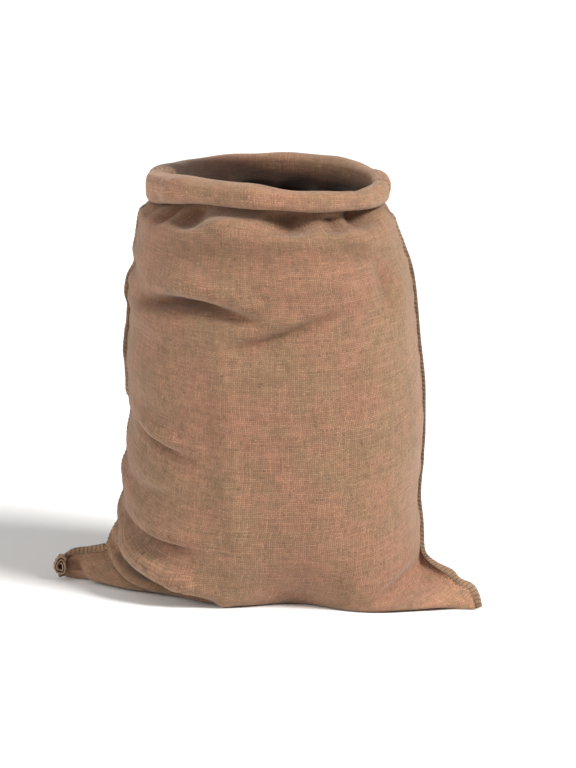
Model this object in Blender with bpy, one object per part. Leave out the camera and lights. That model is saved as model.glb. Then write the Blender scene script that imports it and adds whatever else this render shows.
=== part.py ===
"""Burlap sack, standing open with its mouth rolled down. Metres, +Z up, front towards -Y, origin on the floor.

One length of cloth is folded across the bottom and sewn up both sides. The cloth is described by rows that run
round the sack, from the fold on the floor up the walls and into the roll of the mouth.
"""

from collections import namedtuple

import bmesh
import bpy
import numpy as np

CLOTH = 0.002  # thickness of the modelled sheet
PANEL_STEPS = 32  # columns across the front, and as many across the back
RING_STEPS = 2 * PANEL_STEPS  # columns right round the sack
LINE_STEPS = 400  # fine steps along a row before its points are spread evenly
FLOOR = CLOTH / 2  # height of the middle of the sheet where it lies on the floor
CENTRING = (0.0037, 0.0011, 0.0)  # puts the middle of the whole sack's box over the origin

SEAM_WIDTH = 0.007  # how far the sewn allowance stands out
SEAM_THICK = 0.003
SEAM_GAP = 0.0008  # clearance between the allowance and the cloth
SEAM_LOWEST = 0.0005  # the allowance stays this far above the floor

ROLL_TURNS = 1.35
ROLL_PITCH = 0.0062  # from one layer of the roll to the next
ROLL_STEPS = 12

Section = namedtuple(
    "Section",
    "cloth left_x left_y left_z right_x right_y right_z front_y front_z back_y back_z square point settle",
)
# cloth: distance up the cloth from the bottom fold. left, right: where the side seams pass. front, back: the
# middle of each panel. square: 2 is an oval row, more is boxier. point: 1 meets the seam at a point, 0.5 is round.
# settle: 1 climbs to the seam as the row's outline does, less keeps the row low until it is near the seam.
SECTIONS = tuple(
    Section(*row)
    for row in (
        (0.000, -0.284, 0.030, 0.004, 0.277, -0.143, 0.004, -0.066, 0.001, -0.066, 0.001, 6.0, 1.00, 0.25),
        (0.022, -0.285, 0.029, 0.020, 0.271, -0.134, 0.019, -0.090, 0.001, -0.040, 0.001, 6.0, 1.00, 0.25),
        (0.046, -0.264, 0.027, 0.031, 0.258, -0.121, 0.031, -0.112, 0.001, -0.012, 0.001, 5.5, 1.00, 0.25),
        (0.072, -0.240, 0.025, 0.036, 0.238, -0.100, 0.042, -0.130, 0.001, 0.020, 0.001, 5.0, 0.95, 0.28),
        (0.098, -0.218, 0.023, 0.048, 0.221, -0.078, 0.047, -0.141, 0.002, 0.052, 0.001, 4.8, 0.85, 0.32),
        (0.124, -0.203, 0.021, 0.070, 0.212, -0.058, 0.062, -0.151, 0.010, 0.086, 0.001, 4.4, 0.75, 0.45),
        (0.150, -0.198, 0.019, 0.098, 0.209, -0.044, 0.092, -0.158, 0.029, 0.118, 0.002, 4.0, 0.62, 0.75),
        (0.190, -0.193, 0.018, 0.138, 0.203, -0.032, 0.135, -0.166, 0.067, 0.144, 0.018, 3.2, 0.50, 1.00),
        (0.250, -0.188, 0.016, 0.190, 0.206, -0.026, 0.190, -0.170, 0.124, 0.160, 0.072, 2.7, 0.45, 1.00),
        (0.300, -0.184, 0.015, 0.238, 0.208, -0.024, 0.240, -0.171, 0.172, 0.166, 0.124, 2.6, 0.44, 1.00),
        (0.340, -0.189, 0.014, 0.274, 0.208, -0.022, 0.276, -0.171, 0.210, 0.169, 0.165, 2.5, 0.43, 1.00),
        (0.440, -0.189, 0.012, 0.355, 0.201, -0.020, 0.354, -0.169, 0.305, 0.170, 0.266, 2.4, 0.43, 1.00),
        (0.540, -0.182, 0.011, 0.437, 0.194, -0.018, 0.432, -0.167, 0.400, 0.168, 0.368, 2.3, 0.44, 1.00),
        (0.610, -0.174, 0.010, 0.494, 0.181, -0.016, 0.488, -0.167, 0.468, 0.166, 0.446, 2.2, 0.46, 1.00),
        (0.655, -0.170, 0.010, 0.530, 0.171, -0.015, 0.521, -0.164, 0.513, 0.162, 0.504, 2.1, 0.48, 1.00),
        (0.685, -0.160, 0.010, 0.540, 0.162, -0.014, 0.534, -0.152, 0.533, 0.150, 0.532, 2.0, 0.50, 1.00),
        (0.707, -0.142, 0.010, 0.542, 0.149, -0.013, 0.540, -0.135, 0.540, 0.133, 0.542, 2.0, 0.50, 1.00),
        (0.722, -0.128, 0.010, 0.549, 0.142, -0.013, 0.546, -0.126, 0.548, 0.124, 0.552, 2.0, 0.50, 1.00),
        (0.737, -0.124, 0.010, 0.566, 0.141, -0.013, 0.560, -0.124, 0.562, 0.122, 0.567, 2.0, 0.50, 1.00),
    )
)
ROWS = (
    0.0, 0.022, 0.046, 0.072, 0.098, 0.124, 0.150, 0.176, 0.206, 0.240, 0.276, 0.312, 0.348, 0.388,
    0.430, 0.472, 0.514, 0.556, 0.594, 0.626, 0.652, 0.672, 0.690, 0.707, 0.722, 0.737,
)
NECK_ROW = len(ROWS) - 6  # rings below this one carry the seams and the folds; above it the roll begins

# The roll round the mouth, by direction seen from above: 0 is the right end, 90 the back, 270 the front.
Mouth = namedtuple("Mouth", "direction radius lift")
MOUTH = tuple(
    Mouth(*row)
    for row in (
        (0, 0.0155, 0.004),
        (40, 0.0150, 0.004),
        (90, 0.0165, 0.005),
        (140, 0.0175, -0.001),
        (180, 0.0225, 0.000),
        (220, 0.0200, 0.004),
        (255, 0.0185, 0.003),
        (285, 0.0160, -0.004),
        (320, 0.0155, -0.008),
        (345, 0.0160, 0.000),
    )
)

# Soft folds of the front: where each starts, bends and ends, seen from the front, and its half width and depth.
Crease = namedtuple("Crease", "start_x start_z bend_x bend_z end_x end_z half_width depth")
CREASES = tuple(
    Crease(*row)
    for row in (
        (-0.172, 0.415, -0.095, 0.428, -0.022, 0.394, 0.011, 0.0080),
        (-0.048, 0.362, 0.012, 0.378, 0.088, 0.408, 0.011, 0.0050),
        (-0.182, 0.252, -0.158, 0.228, -0.114, 0.208, 0.010, 0.0060),
        (-0.200, 0.104, -0.160, 0.094, -0.118, 0.076, 0.010, 0.0060),
        (-0.212, 0.058, -0.150, 0.048, -0.080, 0.004, 0.013, 0.0120),
        (0.170, 0.030, 0.188, 0.044, 0.210, 0.052, 0.010, 0.0060),
        (0.096, 0.500, 0.115, 0.492, 0.140, 0.496, 0.014, 0.0060),
        (0.150, 0.470, 0.156, 0.455, 0.160, 0.430, 0.012, 0.0050),
    )
)

# Gathers under the roll: direction as in MOUTH, half width as an angle, and depth.
Tuck = namedtuple("Tuck", "direction half_angle depth")
TUCKS = tuple(
    Tuck(*row)
    for row in (
        (207, 5.0, 0.016),
        (226, 8.0, 0.012),
        (272, 9.0, 0.013),
        (294, 5.0, 0.013),
        (313, 7.0, 0.014),
        (350, 6.0, 0.009),
        (20, 6.0, 0.010),
        (55, 8.0, 0.012),
        (88, 7.0, 0.011),
        (118, 8.0, 0.013),
        (150, 6.0, 0.011),
        (176, 5.0, 0.008),
    )
)
TUCK_CENTRE = 0.685  # distance up the cloth where the gathers are deepest
TUCK_REACH = 0.030

CREASE_STEPS = 24
CREASE_END = 0.05  # a crease's own end is this share of the way into its fade
CREASE_FADE = 0.6  # less keeps a crease deep nearer to its ends
SEAM_HOLD = 8  # the folds fade out towards the seams; more fades them nearer to the seams

BURLAP = (0.40, 0.25, 0.16, 1.0)
THREAD = (0.30, 0.19, 0.12, 1.0)


def clear_scene():
    for thing in list(bpy.data.objects):
        bpy.data.objects.remove(thing, do_unlink=True)


def material(name, colour):
    made = bpy.data.materials.new(name)
    made.use_nodes = True
    shader = made.node_tree.nodes["Principled BSDF"]
    shader.inputs["Base Color"].default_value = colour
    shader.inputs["Roughness"].default_value = 0.95
    shader.inputs["Metallic"].default_value = 0.0
    return made


def unit(vectors):
    return vectors / np.maximum(np.linalg.norm(vectors, axis=-1, keepdims=True), 1e-12)


def column(table, name):
    return np.array([getattr(row, name) for row in table])


def smooth_curve(knots, values, at):
    """A smooth curve through the values that doesn't overshoot them."""
    step = np.diff(knots)
    slope = np.diff(values) / step
    tangent = np.zeros(len(knots))
    tangent[0], tangent[-1] = slope[0], slope[-1]
    same_way = slope[1:] * slope[:-1] > 0
    mean = 2 * slope[1:] * slope[:-1] / np.where(same_way, slope[1:] + slope[:-1], 1)
    tangent[1:-1] = np.where(same_way, mean, 0)
    k = np.clip(np.searchsorted(knots, at, side="right") - 1, 0, len(step) - 1)
    h = (at - knots[k]) / step[k]
    return (
        values[k] * (1 + 2 * h) * (1 - h) ** 2
        + tangent[k] * step[k] * h * (1 - h) ** 2
        + values[k + 1] * h**2 * (3 - 2 * h)
        + tangent[k + 1] * step[k] * h**2 * (h - 1)
    )


def section_at(cloth):
    knots = column(SECTIONS, "cloth")
    values = [smooth_curve(knots, column(SECTIONS, name), np.array([cloth]))[0] for name in Section._fields]
    return Section(*values)


def around(table, name, direction):
    """A value of a table that is given by direction, smoothed round the full circle."""
    knots = column(table, "direction")
    values = column(table, name)
    knots = np.concatenate([knots - 360, knots, knots + 360])
    return smooth_curve(knots, np.tile(values, 3), np.mod(direction, 360))


def panel_row(section, middle_y, middle_z):
    """One row across a panel, from the left seam to the right one, with its points evenly apart."""
    along = np.sin(np.linspace(-np.pi / 2, np.pi / 2, LINE_STEPS + 1))
    left = np.array([section.left_x, section.left_y, section.left_z])
    right = np.array([section.right_x, section.right_y, section.right_z])
    line = left + (right - left) * (along[:, None] + 1) / 2
    bulge = (1 - np.abs(along) ** section.square) ** section.point
    middle = (left + right) / 2
    line[:, 1] += (middle_y - middle[1]) * bulge
    line[:, 2] += (middle_z - line[:, 2]) * bulge**section.settle
    run = np.concatenate([[0], np.cumsum(np.linalg.norm(np.diff(line, axis=0), axis=1))])
    even = np.linspace(0, run[-1], PANEL_STEPS + 1)
    return np.stack([np.interp(even, run, line[:, k]) for k in range(3)], axis=1)


def ring(cloth):
    """A row right round: the front from left to right, then the back from right to left."""
    section = section_at(cloth)
    front = panel_row(section, section.front_y, section.front_z)
    back = panel_row(section, section.back_y, section.back_z)
    return np.concatenate([front, back[-2:0:-1]])


def directions_of(points):
    centre = points.mean(axis=0)
    return np.degrees(np.arctan2(points[:, 1] - centre[1], points[:, 0] - centre[0]))


def outward_of(points):
    """Level directions pointing out of a ring."""
    run = np.roll(points, -1, axis=0) - np.roll(points, 1, axis=0)
    return unit(np.stack([run[:, 1], -run[:, 0], np.zeros(len(run))], axis=1))


def off_the_seams():
    """For each place round a ring, 1 in the middle of a panel and 0 at the seams, which the folds leave alone."""
    across = np.abs(np.linspace(-1, 1, PANEL_STEPS + 1)) ** SEAM_HOLD
    return 1 - np.concatenate([across, across[1:-1]])


def gathered(points, cloth):
    """The ring drawn in by the gathers under the roll."""
    strength = off_the_seams() * np.exp(-(((cloth - TUCK_CENTRE) / TUCK_REACH) ** 2))
    direction = directions_of(points)
    depth = np.zeros(len(points))
    for tuck in TUCKS:
        turn = (direction - tuck.direction + 180) % 360 - 180
        depth += tuck.depth * np.exp(-((turn / tuck.half_angle) ** 2))
    return points - outward_of(points) * (depth * strength)[:, None]


def roll_rows(neck):
    """The rows of the roll, from the neck over the top, down outside and in underneath."""
    direction = directions_of(neck)
    outward = outward_of(neck)
    radius = around(MOUTH, "radius", direction)
    lift = around(MOUTH, "lift", direction)
    up = np.array([0.0, 0.0, 1.0])
    centre = neck + outward * radius[:, None] + up * lift[:, None]
    rows = []
    for step in range(1, ROLL_STEPS + 1):
        turn = ROLL_TURNS * 2 * np.pi * step / ROLL_STEPS
        reach = radius - ROLL_PITCH * turn / (2 * np.pi)
        rows.append(centre + reach[:, None] * (np.sin(turn) * up - np.cos(turn) * outward))
    return rows


def crease_line(crease):
    """Points along a crease, seen from the front, and how deep it is at each: it fades at both ends."""
    h = np.linspace(0, 1, CREASE_STEPS + 1)[:, None]
    start = np.array([crease.start_x, crease.start_z])
    bend = np.array([crease.bend_x, crease.bend_z])
    end = np.array([crease.end_x, crease.end_z])
    points = start * (1 - h) ** 2 + 2 * bend * h * (1 - h) + end * h**2
    along = CREASE_END + (1 - 2 * CREASE_END) * h[:, 0]
    return points, np.sin(np.pi * along) ** CREASE_FADE


def creased(points, normals, front):
    """The sheet pressed in along each crease of the front."""
    seen = points[:, [0, 2]]
    depth = np.zeros(len(points))
    for crease in CREASES:
        line, fade = crease_line(crease)
        away = np.linalg.norm(seen[:, None] - line[None], axis=2)
        nearest = away.argmin(axis=1)
        depth += crease.depth * fade[nearest] * np.exp(-((away.min(axis=1) / crease.half_width) ** 2))
    return points - normals * (depth * front)[:, None]


def cloth_faces(row_count):
    """Quads of the sheet. Row 0 is the fold, one line that the front and the back share."""

    def index(row, place):
        place %= RING_STEPS
        if row == 0:
            return min(place, RING_STEPS - place)
        return PANEL_STEPS + 1 + (row - 1) * RING_STEPS + place

    faces = []
    for row in range(row_count - 1):
        for place in range(RING_STEPS):
            lower = index(row, place), index(row, place + 1)
            upper = index(row + 1, place + 1), index(row + 1, place)
            faces.append(lower + upper)
    return faces


def normals_of(points, faces):
    mesh = bmesh.new()
    verts = [mesh.verts.new(p) for p in points]
    for face in faces:
        mesh.faces.new([verts[k] for k in face])
    mesh.normal_update()
    normals = np.array([v.normal[:] for v in verts])
    mesh.free()
    return normals


def middle_sheet():
    """The middle of the cloth: its points and its faces."""
    fold = panel_row(SECTIONS[0], SECTIONS[0].front_y, SECTIONS[0].front_z)
    rings = [gathered(ring(cloth), cloth) for cloth in ROWS[1:]]
    rings += roll_rows(rings[-1])
    points = np.concatenate([fold] + rings)
    faces = cloth_faces(len(rings) + 1)
    front = np.zeros(len(points))
    for row in range(NECK_ROW):
        first = len(fold) + row * RING_STEPS
        front[first : first + PANEL_STEPS + 1] = off_the_seams()[: PANEL_STEPS + 1]
    points = creased(points, normals_of(points, faces), front)
    points[:, 2] = np.maximum(points[:, 2], FLOOR)
    return points + CENTRING, faces


def ring_of(points, row):
    """The points of one ring of the finished sheet. Ring 0 is the first above the fold."""
    first = PANEL_STEPS + 1 + row * RING_STEPS
    return points[first : first + RING_STEPS]


def new_object(name, points, faces, finish, smooth):
    mesh = bpy.data.meshes.new(name)
    mesh.from_pydata([tuple(map(float, p)) for p in points], [], faces)
    mesh.materials.append(finish)
    if smooth:
        mesh.shade_smooth()
    mesh.update()
    made = bpy.data.objects.new(name, mesh)
    bpy.context.scene.collection.objects.link(made)
    return made


def make_cloth(points, faces):
    """The sheet given its thickness: an outer face, an inner one and a strip round the rim."""
    normals = normals_of(points, faces)
    outer = points + normals * CLOTH / 2
    outer[:, 2] = np.where(outer[:, 2] < CLOTH / 4, 0.0, outer[:, 2])
    inner = points - normals * CLOTH / 2
    count = len(points)
    rim = range(count - RING_STEPS, count)
    solid = list(faces)
    solid += [tuple(count + k for k in reversed(face)) for face in faces]
    for here, there in zip(rim, list(rim)[1:] + [rim[0]]):
        solid.append((here, there, count + there, count + here))
    return new_object("sack_cloth", np.concatenate([outer, inner]), solid, material("burlap", BURLAP), True)


def seam_path(points, place):
    """The line of a side seam up to under the roll, the way along it and the way out of the sack."""
    other = PANEL_STEPS - place
    rings = np.array([ring_of(points, row) for row in range(NECK_ROW)])
    path = np.concatenate([points[place][None], rings[:, place]])
    outward = path - np.concatenate([points[other][None], rings[:, other]])
    run = unit(np.gradient(path, axis=0))
    outward = unit(outward - run * (outward * run).sum(axis=1, keepdims=True))
    return path, run, outward


def make_seam(name, sheet, place, finish):
    """The two raw edges sewn together, as a narrow band that stands out from the side of the sack."""
    path, run, outward = seam_path(sheet, place)
    across = np.cross(run, outward)
    near = CLOTH / 2 + SEAM_GAP
    corners = ((near, -1), (near + SEAM_WIDTH, -1), (near + SEAM_WIDTH, 1), (near, 1))
    points = []
    for here, out, side in zip(path, outward, across):
        for reach, half in corners:
            points.append(here + out * reach + side * half * SEAM_THICK / 2)
    points = np.array(points)
    points[:, 2] = np.maximum(points[:, 2], SEAM_LOWEST)
    faces = []
    for row in range(len(path) - 1):
        for k in range(4):
            a = 4 * row + k
            b = 4 * row + (k + 1) % 4
            faces.append((a, b, b + 4, a + 4))
    last = 4 * (len(path) - 1)
    faces.append((3, 2, 1, 0))
    faces.append((last, last + 1, last + 2, last + 3))
    made = new_object(name, points, faces, finish, False)
    mesh = bmesh.new()
    mesh.from_mesh(made.data)
    bmesh.ops.recalc_face_normals(mesh, faces=mesh.faces)
    mesh.to_mesh(made.data)
    mesh.free()
    return made


def main():
    clear_scene()
    points, faces = middle_sheet()
    make_cloth(points, faces)
    thread = material("overlock_thread", THREAD)
    make_seam("seam_left", points, 0, thread)
    make_seam("seam_right", points, PANEL_STEPS, thread)


main()
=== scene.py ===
"""Burlap sack with a rolled mouth: the fine cloth, seams, stitches and loose fibres, and a studio stage."""

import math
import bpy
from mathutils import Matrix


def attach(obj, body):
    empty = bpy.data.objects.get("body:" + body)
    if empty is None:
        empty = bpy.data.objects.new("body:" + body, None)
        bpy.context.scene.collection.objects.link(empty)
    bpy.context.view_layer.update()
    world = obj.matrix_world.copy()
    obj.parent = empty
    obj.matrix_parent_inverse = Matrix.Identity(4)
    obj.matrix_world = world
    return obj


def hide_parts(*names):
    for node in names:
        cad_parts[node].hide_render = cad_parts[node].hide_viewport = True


bl_info = {
    "name": "Burlap Sack",
    "version": (1, 0, 0),
    "blender": (4, 5, 0),
    "location": "3D View > Sidebar > Burlap Sack",
    "description": "Makes an open burlap sack with a rolled mouth, overlocked sides and soft bottom corners",
    "category": "Add Mesh",
}

from collections import namedtuple

import bpy
import numpy as np
from bpy.props import FloatProperty, FloatVectorProperty, IntProperty, PointerProperty
from mathutils import Vector, noise

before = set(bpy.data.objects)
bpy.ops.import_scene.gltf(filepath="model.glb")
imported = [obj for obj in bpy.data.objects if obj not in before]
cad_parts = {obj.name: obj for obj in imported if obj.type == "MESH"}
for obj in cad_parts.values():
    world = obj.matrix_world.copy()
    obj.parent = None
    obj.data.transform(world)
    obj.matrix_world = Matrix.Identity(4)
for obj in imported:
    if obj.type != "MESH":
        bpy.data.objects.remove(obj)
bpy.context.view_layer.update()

# ---------------------------------------------------------------- shape of the sack


def table(kind, *rows):
    """A table whose rows have the columns of kind."""
    return [kind(*row) for row in rows]


CENTRING = np.array([0.0037, 0.0011, 0.0])  # puts the middle of the whole sack over the origin
UP = np.array([0.0, 0.0, 1.0])
PANEL_STEPS = 401  # places that a row is worked out at, before it is divided evenly
SEAM_TOP = 0.69  # the side seams end this far up the cloth, under the roll
ROLL_TURNS = 1.4
ROLL_RADIUS = 0.0165  # about how thick the roll is, for measuring the cloth in it
ROLL_PITCH = 0.0058  # from one layer of the roll to the next
FLAT_WIDTH = 0.60  # the cloth as it was cut

# cloth: distance up the cloth from the bottom fold. left, right: where the side seams pass. front, back: the
# middle of each panel. square: 2 is an oval row, more is boxier. point: 1 meets the seam at a point, 0.5 is
# round. settle: 1 climbs to the seam as the row's outline does, less keeps it low until near the seam.
Section = namedtuple(
    "Section",
    "cloth left_x left_y left_z right_x right_y right_z front_y front_z back_y back_z square point settle",
)
SECTIONS = table(
    Section,
    (0.000, -0.284, 0.030, 0.004, 0.286, -0.146, 0.004, -0.066, 0.001, -0.066, 0.001, 6.0, 1.00, 0.55),
    (0.022, -0.286, 0.029, 0.0255, 0.281, -0.138, 0.019, -0.090, 0.001, -0.040, 0.001, 6.0, 1.00, 0.58),
    (0.046, -0.268, 0.027, 0.036, 0.266, -0.124, 0.029, -0.112, 0.001, -0.012, 0.001, 5.5, 1.00, 0.60),
    (0.072, -0.242, 0.025, 0.039, 0.246, -0.106, 0.041, -0.130, 0.001, 0.020, 0.001, 5.0, 0.95, 0.60),
    (0.098, -0.218, 0.023, 0.048, 0.226, -0.082, 0.049, -0.141, 0.002, 0.052, 0.001, 4.8, 0.85, 0.60),
    (0.124, -0.203, 0.021, 0.070, 0.212, -0.058, 0.062, -0.151, 0.010, 0.086, 0.001, 4.4, 0.75, 0.65),
    (0.150, -0.198, 0.019, 0.098, 0.209, -0.044, 0.092, -0.158, 0.029, 0.118, 0.002, 4.0, 0.62, 0.75),
    (0.190, -0.193, 0.018, 0.138, 0.203, -0.032, 0.135, -0.166, 0.067, 0.144, 0.018, 3.2, 0.50, 1.00),
    (0.250, -0.188, 0.016, 0.190, 0.206, -0.026, 0.190, -0.170, 0.124, 0.160, 0.072, 2.7, 0.45, 1.00),
    (0.300, -0.184, 0.015, 0.238, 0.208, -0.024, 0.240, -0.171, 0.172, 0.166, 0.124, 2.6, 0.44, 1.00),
    (0.340, -0.189, 0.014, 0.274, 0.208, -0.022, 0.276, -0.171, 0.210, 0.169, 0.165, 2.5, 0.43, 1.00),
    (0.440, -0.189, 0.012, 0.355, 0.201, -0.020, 0.354, -0.169, 0.305, 0.170, 0.266, 2.4, 0.43, 1.00),
    (0.540, -0.182, 0.011, 0.437, 0.194, -0.018, 0.432, -0.167, 0.400, 0.168, 0.368, 2.3, 0.44, 1.00),
    (0.610, -0.174, 0.010, 0.494, 0.181, -0.016, 0.488, -0.167, 0.468, 0.166, 0.446, 2.2, 0.46, 1.00),
    (0.655, -0.170, 0.010, 0.530, 0.171, -0.015, 0.521, -0.164, 0.513, 0.162, 0.504, 2.1, 0.48, 1.00),
    (0.685, -0.160, 0.010, 0.540, 0.162, -0.014, 0.534, -0.152, 0.533, 0.150, 0.532, 2.0, 0.50, 1.00),
    (0.707, -0.142, 0.010, 0.542, 0.149, -0.013, 0.540, -0.135, 0.540, 0.133, 0.542, 2.0, 0.50, 1.00),
    (0.722, -0.128, 0.010, 0.549, 0.142, -0.013, 0.546, -0.126, 0.548, 0.124, 0.552, 2.0, 0.50, 1.00),
    (0.737, -0.124, 0.010, 0.566, 0.141, -0.013, 0.560, -0.124, 0.562, 0.122, 0.567, 2.0, 0.50, 1.00),
)

# Rows up the cloth: from, to, and how many steps between.
Band = namedtuple("Band", "start end steps")
ROW_BANDS = [Band(0.000, 0.150, 34), Band(0.150, 0.600, 84), Band(0.600, 0.737, 34)]
ROLL_ROWS = 42

# The roll round the mouth, by direction seen from above: 0 is the right end, 90 the back, 270 the front.
# square: 1 is a round roll, less is boxier. shade_from: how far up the cloth painted shade starts on its
# inner side; it starts higher at the back left, where the roll's left end shadows it.
Mouth = namedtuple("Mouth", "direction radius lift square shade_from")
MOUTH = table(
    Mouth,
    (0, 0.0160, -0.002, 0.80, 0.744),
    (40, 0.0150, 0.004, 0.90, 0.741),
    (90, 0.0165, 0.005, 0.95, 0.751),
    (125, 0.0165, 0.001, 0.90, 0.768),
    (150, 0.0180, -0.002, 0.85, 0.776),
    (168, 0.0200, -0.002, 0.70, 0.778),
    (185, 0.0225, -0.007, 0.62, 0.764),
    (205, 0.0215, 0.000, 0.62, 0.760),
    (225, 0.0195, 0.004, 0.80, 0.750),
    (255, 0.0185, 0.003, 0.82, 0.744),
    (285, 0.0160, -0.004, 0.85, 0.744),
    (320, 0.0155, -0.008, 0.85, 0.744),
    (345, 0.0160, -0.005, 0.78, 0.744),
)
OPEN_GAP = 0.030  # where front and back are closer than this, the inner side gets less painted shade
SHADE_REACH = 0.020  # the painted shade on the inner side grows over this much cloth
ROLL_LUMP = 0.0011  # how much thicker and thinner the roll gets
ROLL_LUMP_SIZES = (0.045, 0.045, 0.5)
ROLL_LUMP_SHIFT = 3.1
TWIST = 0.0007  # how deep the slanting wrinkles round the roll are
TWIST_WAVES = ((7, 1.3), (3, -0.7))  # how often they cross the roll, and how far each slants

# Dents and (below zero) bulges of the roll: direction as in MOUTH, and turn: 0 is the neck, 90 the top of the
# roll, 180 its outer side, 270 underneath.
Dent = namedtuple("Dent", "direction turn half_angle half_turn depth")
DENTS = table(
    Dent,
    (176, 175, 5.0, 30, 0.0040),
    (186, 120, 6.0, 30, -0.0025),
    (197, 205, 4.0, 30, 0.0045),
    (206, 110, 3.5, 28, 0.0025),
    (214, 165, 4.0, 34, 0.0028),
    (229, 120, 8.0, 26, 0.0022),
    (243, 200, 9.0, 30, 0.0020),
    (258, 150, 8.0, 34, -0.0018),
    (272, 115, 7.0, 24, 0.0022),
    (287, 185, 8.0, 28, 0.0024),
    (301, 130, 6.0, 30, -0.0016),
    (312, 200, 5.0, 34, 0.0030),
    (322, 100, 3.4, 30, 0.0050),
    (331, 150, 3.2, 34, 0.0040),
    (342, 95, 5.0, 26, -0.0020),
    (352, 170, 4.0, 36, 0.0050),
    (20, 110, 6.0, 30, 0.0026),
    (48, 80, 8.0, 30, -0.0016),
    (70, 140, 8.0, 34, 0.0026),
    (101, 90, 9.0, 30, 0.0018),
    (126, 150, 7.0, 34, 0.0030),
    (150, 80, 6.0, 26, 0.0026),
)

# Gathers under the roll: direction as in MOUTH, half width as an angle, where up the cloth and how far along
# it, and how far they draw in and drop.
Tuck = namedtuple("Tuck", "direction half_angle cloth reach depth drop")
TUCKS = table(
    Tuck,
    (193, 5.0, 0.690, 0.026, 0.002, 0.008),
    (205, 4.5, 0.688, 0.022, 0.022, 0.008),
    (223, 11.0, 0.692, 0.020, 0.027, 0.012),
    (247, 9.0, 0.682, 0.022, -0.008, -0.006),
    (283, 14.0, 0.694, 0.020, 0.032, 0.015),
    (306, 7.0, 0.684, 0.013, 0.026, 0.010),
    (321, 8.0, 0.692, 0.022, 0.028, 0.013),
    (338, 5.0, 0.690, 0.026, -0.004, -0.002),
    (352, 5.0, 0.690, 0.026, 0.010, 0.003),
    (20, 6.0, 0.690, 0.026, 0.010, 0.004),
    (55, 8.0, 0.690, 0.026, 0.014, 0.008),
    (88, 7.0, 0.690, 0.026, 0.011, 0.003),
    (118, 8.0, 0.690, 0.026, 0.016, 0.009),
    (150, 6.0, 0.690, 0.026, 0.011, 0.004),
    (176, 5.0, 0.690, 0.026, 0.008, 0.004),
)
DROP_BELOW = 0.013  # a gather drops the cloth this far below where it draws it in
DROP_SHARE = 0.85  # and over this share of its reach

# Soft folds, seen from the front or from the back: a start, a bend and an end, half width, how deep
# (a negative depth is a ridge), and how high the cloth stands up just above the fold.
Crease = namedtuple("Crease", "start_x start_z bend_x bend_z end_x end_z half_width depth lip")
FRONT_CREASES = table(
    Crease,
    (-0.180, 0.410, -0.100, 0.440, -0.014, 0.398, 0.0115, 0.0190, 0.0095),
    (-0.160, 0.424, -0.122, 0.432, -0.076, 0.418, 0.0130, 0.0085, 0.0010),
    (-0.052, 0.364, 0.010, 0.374, 0.108, 0.420, 0.0100, 0.0090, 0.0045),
    (0.020, 0.436, 0.075, 0.448, 0.130, 0.455, 0.0180, -0.0050, 0.0000),
    (-0.194, 0.258, -0.160, 0.222, -0.104, 0.211, 0.0080, 0.0125, 0.0075),
    (-0.163, 0.232, -0.166, 0.218, -0.165, 0.200, 0.0042, 0.0045, 0.0000),
    (-0.190, 0.168, -0.160, 0.152, -0.126, 0.156, 0.0090, 0.0050, 0.0025),
    (-0.206, 0.110, -0.164, 0.087, -0.098, 0.082, 0.0080, 0.0135, 0.0070),
    (-0.216, 0.051, -0.184, 0.042, -0.079, 0.003, 0.0125, 0.0340, 0.0120),
    (-0.212, 0.076, -0.172, 0.066, -0.082, 0.024, 0.0100, -0.0110, 0.0000),
    (-0.268, 0.032, -0.266, 0.016, -0.252, 0.003, 0.0060, 0.0140, 0.0030),
    (0.158, 0.026, 0.190, 0.046, 0.216, 0.054, 0.0085, 0.0070, 0.0025),
    (0.215, 0.074, 0.219, 0.062, 0.223, 0.052, 0.0045, 0.0120, 0.0000),
    (0.094, 0.503, 0.118, 0.492, 0.143, 0.488, 0.0120, 0.0065, 0.0020),
    (0.147, 0.478, 0.161, 0.452, 0.162, 0.415, 0.0100, 0.0070, 0.0000),
    (0.176, 0.445, 0.182, 0.420, 0.182, 0.370, 0.0110, -0.0050, 0.0000),
    (-0.155, 0.500, -0.020, 0.484, 0.125, 0.497, 0.0180, 0.0060, 0.0030),
    (-0.058, 0.370, -0.058, 0.240, -0.034, 0.020, 0.0170, -0.0045, 0.0000),
)
BACK_CREASES = table(
    Crease,
    (0.165, 0.440, 0.090, 0.420, 0.010, 0.432, 0.0110, 0.0070, 0.0030),
    (-0.160, 0.400, -0.080, 0.372, 0.020, 0.366, 0.0090, 0.0060, 0.0025),
    (0.175, 0.250, 0.120, 0.222, 0.050, 0.232, 0.0090, 0.0055, 0.0025),
    (-0.175, 0.180, -0.130, 0.150, -0.070, 0.156, 0.0090, 0.0055, 0.0025),
    (0.190, 0.110, 0.140, 0.078, 0.080, 0.074, 0.0100, 0.0080, 0.0035),
    (-0.190, 0.080, -0.130, 0.050, -0.060, 0.030, 0.0110, 0.0100, 0.0040),
    (-0.120, 0.500, 0.000, 0.484, 0.120, 0.496, 0.0150, 0.0040, 0.0010),
)

FOLD_DEEP = 0.020  # painted shade in the folds: a fold this deep is painted as dark as folds get
GATHER_DEEP = 0.040  # and painted shade under the roll: a gather that draws in this far is painted as dark
FOLD_SHADE = 0.6  # how dark that painted shade is, beside the painted shade deep inside of the sack
ROLL_PAINTED_LIGHT = (0.742, 0.775)  # painted light on the roll: the cloth is painted lighter between these places up it
EAR_BESIDE = (0.18, 0.27)  # painted light on the bottom corners: they are painted lighter between these distances from the middle
EAR_UP = (0.08, 0.15)  # and below these places up the cloth
CREASE_STEPS = 41
CREASE_END = 0.03  # how soon a fold starts, as a share of its length
CREASE_FADE = 0.55  # less is a fold that stays strong nearer to its ends
LIP_PLACE = 1.7  # the lip stands this many half widths above the fold
LIP_REACH = 1.2
OVERHANG = 0.75  # the lip hangs down over the fold by this share of its own height
OVERHANG_PLACE = 1.2
OVERHANG_REACH = 0.9
FOLD_STOP = 0.02  # folds end this far below the neck
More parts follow.
